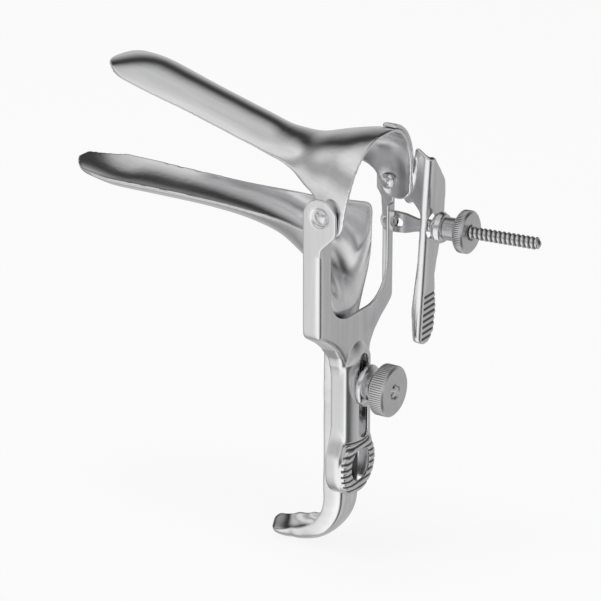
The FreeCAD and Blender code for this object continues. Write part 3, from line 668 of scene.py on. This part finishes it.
class SPECULUM_OT_pressed(bpy.types.Operator):
    """Build the pressed yoke and thumb lever with polished, rolled edges and the ring's cut ribs."""

    bl_idname = "speculum.pressed"
    bl_label = "Yoke and lever"

    def execute(self, context):
        sizes = context.scene.speculum_sizes
        # painted shade darkens the ring's ribs, the thumb pad's grooves and the hollow folds
        yoke = steel("yoke steel", sizes.yoke_colour, 0.24, 1.0, (1.0, 1.0, 0.06), painted_shade=groove_painted_shade)
        lever = steel("lever steel", sizes.yoke_colour, 0.22, 1.0, (1.0, 1.0, 0.06), painted_shade=groove_painted_shade)
        rolled("yoke_pressed", "yoke_frame", "yoke", yoke, self.yoke_shoulder, 12, self.ring_ribs)
        rolled("lever_pressed", "thumb_lever", "upper", lever, self.lever_foot, 22,
               self.pad_grooves)
        return {"FINISHED"}

    def yoke_shoulder(self, work):
        """Draws the arms in to the stem on the real yoke's fuller curve."""
        for vert in work.verts:
            height = vert.co.z / MM
            if SHOULDER[-1][0] < height < SHOULDER[0][0]:
                old = through(SHOULDER_PLAIN, height)
                vert.co.y *= through(SHOULDER, height) / old

    def lever_foot(self, work):
        """Draws the lever's foot in to a rounder end."""
        for vert in work.verts:
            x, y, z = [value / MM for value in vert.co]
            if z < FOOT_FROM and x > LEVER_BACK:
                share = (FOOT_FROM - z) / FOOT_RUN
                vert.co.y = (FOOT_MIDDLE + (y - FOOT_MIDDLE) * (1 - FOOT_DRAWN * share ** 2)) * MM

    def ring_ribs(self, work, groove):
        """Cuts the cross grooves into the front of the finger ring."""
        pitch = bpy.context.scene.speculum_sizes.ring_rib_pitch
        cuts = []
        for vert in work.verts:
            place = vert.co
            if place.z > RING_RIBS_TOP or place.x < RING_FRONT or vert.normal.x < 0.35:
                continue
            cuts.append((vert, groove_cut((place.z - RING_RIBS_TOP) / pitch % 1.0)))
        ribbed(work, groove, cuts, RING_CUT)

    def pad_grooves(self, work, groove):
        """Cuts the cross grooves into the thumb pad."""
        cuts = []
        for vert in work.verts:
            place = vert.co
            if not PAD_LOW < place.z < PAD_HIGH or place.y < PAD_NEAR or vert.normal.x < 0.5:
                continue
            cuts.append((vert, groove_cut((place.z - PAD_LOW) / PAD_PITCH % 1.0)))
        ribbed(work, groove, cuts, PAD_CUT)


class SPECULUM_OT_blades(bpy.types.Operator):
    """Build both blades with polished edges, and the lower one's oval nose, squared strap and spoon."""

    bl_idname = "speculum.blades"
    bl_label = "Blades"

    def execute(self, context):
        sizes = context.scene.speculum_sizes
        # painted shade darkens the strap's front behind the stem
        lower = steel("lower blade steel", sizes.blade_colour, 0.2, 1.0, (0.12, 1.0, 0.4),
                      painted_shade=shadowed_strap)
        upper = steel("blade steel", sizes.blade_colour, 0.18, 1.0, (0.06, 1.0, 1.0), math.radians(15.7))
        rolled("lower_blade_polished", "lower_blade", "lower", lower, self.lower, 8, plain,
               BLADE_VOXEL)
        rolled("upper_blade_polished", "upper_blade", "upper", upper, plain, 8, plain,
               BLADE_VOXEL)
        return {"FINISHED"}

    def lower(self, work):
        """Shapes the lower blade's nose, strap and spoon."""
        for vert in work.verts:
            self.nose(vert)
            self.strap(vert)
        self.spoon(work)

    def spoon(self, work):
        """Smooths and widens the hook's end, sinks its middle and lifts its tip."""
        spoon = [vert for vert in work.verts if vert.co.z < SPOON_BELOW * MM and vert.co.x < STRAP_PIVOT * MM]
        polish(work, spoon, SPOON_ROUNDS)
        for vert in spoon:
            run = STRAP_PIVOT - vert.co.x / MM
            last = max((run - SPOON_TIP) / (SPOON_LENGTH - SPOON_TIP), 0.0)
            sag = SPOON_SAG * math.sin(math.pi * min(run / SPOON_LENGTH, 1.0))
            vert.co.y *= 1 + SPOON_WIDER * min(run / SPOON_WIDEST, 1.0)
            vert.co.z += (SPOON_LIFT * last ** 2 - sag) * MM

    def nose(self, vert):
        """Draws the square-shouldered tip in to a longer oval and lifts it."""
        run = vert.co.x / MM - LOWER_TIP
        if run >= NOSE_NEW:
            return
        new = math.sqrt(max(1 - (1 - max(run, 0.0) / NOSE_NEW) ** 2, 0.0))
        old = math.sqrt(max(1 - (1 - min(max(run, 0.0) / NOSE_OLD, 1.0)) ** 2, 0.0))
        vert.co.y *= new / old if old > 0.02 else math.sqrt(NOSE_OLD / NOSE_NEW)
        rise = NOSE_RISE * (1 - max(run, 0.0) / NOSE_NEW) ** 2 * MM
        vert.co.z += rise
        vert.co.x -= rise

    def strap(self, vert):
        """Squares the strap's corners and presses a shallow groove along its front."""
        x, y, z = [value / MM for value in vert.co]
        if z > STRAP_TOP or x < STRAP_PIVOT:
            return
        share = min((STRAP_TOP - z) / STRAP_BLEND, 1.0)
        if z < STRAP_FOOT:
            arm = Vector((x - STRAP_PIVOT, z - STRAP_FOOT))
            turn = math.atan2(-arm.y, arm.x)
            share *= max(1 - turn / SQUARED_TO, 0.0)
            reach = arm.length
        else:
            turn = 0.0
            reach = x - STRAP_PIVOT
        deep = (reach - (STRAP_REACH - STRAP_DEEP)) / STRAP_DEEP
        wide = y / STRAP_WIDE
        size = math.hypot(deep, wide)
        if size > 0.05 and deep > 0:
            a, b = abs(deep) / size, abs(wide) / size
            packed = (a ** ROUND_POWER + b ** ROUND_POWER) ** (1 / ROUND_POWER)
            squared = (a ** SQUARE_POWER + b ** SQUARE_POWER) ** (1 / SQUARE_POWER)
            grow = 1 + (packed / squared - 1) * share
            deep *= grow
            wide *= grow
        reach = STRAP_REACH - STRAP_DEEP + deep * STRAP_DEEP
        if deep > 0.55:
            pressed = share * max(1 - turn / GROOVED_TO, 0.0)
            reach -= STRAP_GROOVE * pressed * math.exp(-(y / STRAP_GROOVE_WIDE) ** 2)
        vert.co.y = wide * STRAP_WIDE * MM
        if z < STRAP_FOOT:
            vert.co.x = (STRAP_PIVOT + reach * math.cos(turn)) * MM
            vert.co.z = (STRAP_FOOT - reach * math.sin(turn)) * MM
        else:
            vert.co.x = (STRAP_PIVOT + reach) * MM


class SPECULUM_OT_finish(bpy.types.Operator):
    """Give the carried-over pieces their steel finishes."""

    bl_idname = "speculum.finish"
    bl_label = "Steel finishes"

    def execute(self, context):
        sizes = context.scene.speculum_sizes
        turned = steel("pin steel", sizes.turned_colour, 0.15, 0.5, (1.0, 1.0, 1.0))
        for name in ("hinge_rivets", "screw_pin", "clamp_stud"):
            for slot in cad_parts[name].material_slots:
                slot.material = turned
        return {"FINISHED"}


class SPECULUM_OT_stage(bpy.types.Operator):
    """Set the pale floor, the studio light and the camera."""

    bl_idname = "speculum.stage"
    bl_label = "Studio"

    def execute(self, context):
        scene = context.scene
        sizes = scene.speculum_sizes
        low = BARE[0][2] - 0.0003
        self.floor(low, sizes.floor_colour)
        self.tent()
        self.lamp("overhead", (-0.1, -0.15, 1.25), 0.5, 5.0)
        self.lamp("left", (-1.1, -0.9, 0.45), 0.4, 2.0)
        self.world(scene)
        self.camera(scene)
        scene.view_settings.view_transform = "Standard"
        return {"FINISHED"}

    def floor(self, low, colour):
        """A pale floor that the camera sees nearly white, with the soft shadow left on it."""
        work = bmesh.new()
        bmesh.ops.create_grid(work, x_segments=1, y_segments=1, size=3.0)
        mesh = bpy.data.meshes.new("floor")
        work.to_mesh(mesh)
        work.free()
        floor = bpy.data.objects.new("floor", mesh)
        floor.location = (0.0, 0.0, low)
        bpy.context.scene.collection.objects.link(floor)
        material, graph = new_material("floor")
        path = graph.add("ShaderNodeLightPath")
        seen = graph.wire(path, "Is Camera Ray")
        diffuse = graph.add("ShaderNodeBsdfDiffuse", None, {0: tuple(colour) + (1.0,)})
        glow = graph.add("ShaderNodeEmission", None, {0: (1.0, 1.0, 1.0, 1.0), 1: 1.0})
        share = seen * FLOOR_GLOW
        mixed = graph.add("ShaderNodeMixShader", None, {0: share, 1: diffuse.outputs[0], 2: glow.outputs[0]})
        graph.add("ShaderNodeOutputMaterial", None, {0: mixed.outputs[0]})
        mesh.materials.append(material)
        floor.visible_glossy = False

    def tent(self):
        """A studio tent that only the metal's gloss sees, with dark and pale cloths round the object."""
        radius = 2.4
        work = bmesh.new()
        bmesh.ops.create_uvsphere(work, u_segments=64, v_segments=48, radius=radius)
        mesh = bpy.data.meshes.new("light_tent")
        work.to_mesh(mesh)
        work.free()
        mesh.shade_smooth()
        tent = bpy.data.objects.new("light_tent", mesh)
        tent.location = (0.0, 0.0, -0.05)
        tent.visible_camera = False
        tent.visible_shadow = False
        tent.visible_diffuse = False
        bpy.context.scene.collection.objects.link(tent)
        material, graph = new_material("light_tent")
        place = graph.add("ShaderNodeTexCoord").outputs["Object"]
        axes = graph.add("ShaderNodeSeparateXYZ", None, {0: place})
        x, y, z = [graph.wire(axes, name) for name in "XYZ"]
        rise = z * (1 / radius)
        side = y * (1 / radius)
        around = y.math("ARCTAN2", y, x)
        turn = around * (0.5 / math.pi) + 0.5
        behind = graph.add("ShaderNodeValToRGB", {"stops": TENT_BACK}, {0: rise})
        before = graph.add("ShaderNodeValToRGB", {"stops": TENT_FRONT}, {0: rise})
        skirt = graph.add("ShaderNodeValToRGB", {"stops": TENT_SKIRT}, {0: turn})
        cloth = graph.blend(side.above(0.05, 0.3), before.outputs[0], behind.outputs[0])
        cloth = graph.blend(rise.above(-0.02, 0.1), skirt.outputs[0], cloth)
        glow = graph.add("ShaderNodeEmission", None, {0: cloth, 1: 1.0})
        graph.add("ShaderNodeOutputMaterial", None, {0: glow.outputs[0]})
        mesh.materials.append(material)

    def lamp(self, name, place, width, power):
        """A soft square lamp that points at the object."""
        light = bpy.data.lights.new(name, "AREA")
        light.size = width
        light.energy = power
        lamp = bpy.data.objects.new(name, light)
        lamp.location = place
        away = Vector(place) - Vector((0.0, 0.0, -0.04))
        lamp.rotation_euler = away.to_track_quat("Z", "Y").to_euler()
        lamp.visible_glossy = False
        bpy.context.scene.collection.objects.link(lamp)

    def world(self, scene):
        """A white background for the camera and a softer fill for everything else."""
        world = bpy.data.worlds.new("studio")
        scene.world = world
        world.use_nodes = True
        graph = Graph(world.node_tree)
        path = graph.add("ShaderNodeLightPath")
        seen = graph.wire(path, "Is Camera Ray")
        seen = seen.math("MAXIMUM", seen, graph.wire(path, "Is Glossy Ray"))
        seen = seen.math("MAXIMUM", seen, graph.wire(path, "Is Transmission Ray"))
        white = graph.add("ShaderNodeBackground", None, {0: (1.0, 1.0, 1.0, 1.0), 1: 1.0})
        plain = graph.add("ShaderNodeBackground", None, {0: (1.0, 1.0, 1.0, 1.0), 1: 0.55})
        mixed = graph.add("ShaderNodeMixShader", None, {0: seen, 1: plain.outputs[0], 2: white.outputs[0]})
        graph.add("ShaderNodeOutputWorld", None, {0: mixed.outputs[0]})

    def camera(self, scene):
        """A long lens at the photograph's angle."""
        lens = bpy.data.cameras.new("camera")
        camera = bpy.data.objects.new("camera", lens)
        scene.collection.objects.link(camera)
        scene.camera = camera
        side = math.radians(32.5)
        rise = math.radians(21.9)
        away = Vector((math.sin(side) * math.cos(rise), -math.cos(side) * math.cos(rise), math.sin(rise)))
        aim = Vector((-0.02195, 0.0, -0.0408))
        distance = 1.0
        width = 0.2003
        camera.location = aim + away * distance
        camera.rotation_euler = away.to_track_quat("Z", "Y").to_euler()
        lens.sensor_width = 36.0
        lens.lens = lens.sensor_width * distance / width
        lens.clip_start = 0.01


class SPECULUM_PT_panel(bpy.types.Panel):
    """Lists the speculum's steps in the sidebar."""

    bl_label = "Speculum"
    bl_space_type = "VIEW_3D"
    bl_region_type = "UI"
    bl_category = "Speculum"

    def draw(self, context):
        for step in STEPS:
            self.layout.operator(step.bl_idname)
        for name in SpeculumSizes.__annotations__:
            self.layout.prop(context.scene.speculum_sizes, name)


STEPS = (SPECULUM_OT_rod, SPECULUM_OT_nuts, SPECULUM_OT_collars, SPECULUM_OT_pressed, SPECULUM_OT_blades,
         SPECULUM_OT_finish, SPECULUM_OT_stage)
CLASSES = (SpeculumSizes,) + STEPS + (SPECULUM_PT_panel,)


def register():
    for made in CLASSES:
        bpy.utils.register_class(made)
    bpy.types.Scene.speculum_sizes = bpy.props.PointerProperty(type=SpeculumSizes)


def unregister():
    del bpy.types.Scene.speculum_sizes
    for made in reversed(CLASSES):
        bpy.utils.unregister_class(made)


def main():
    """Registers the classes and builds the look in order."""
    register()
    bpy.ops.speculum.rod()
    bpy.ops.speculum.nuts()
    bpy.ops.speculum.collars()
    bpy.ops.speculum.pressed()
    bpy.ops.speculum.blades()
    bpy.ops.speculum.finish()
    bpy.ops.speculum.stage()


if __name__ == "__main__":
    main()
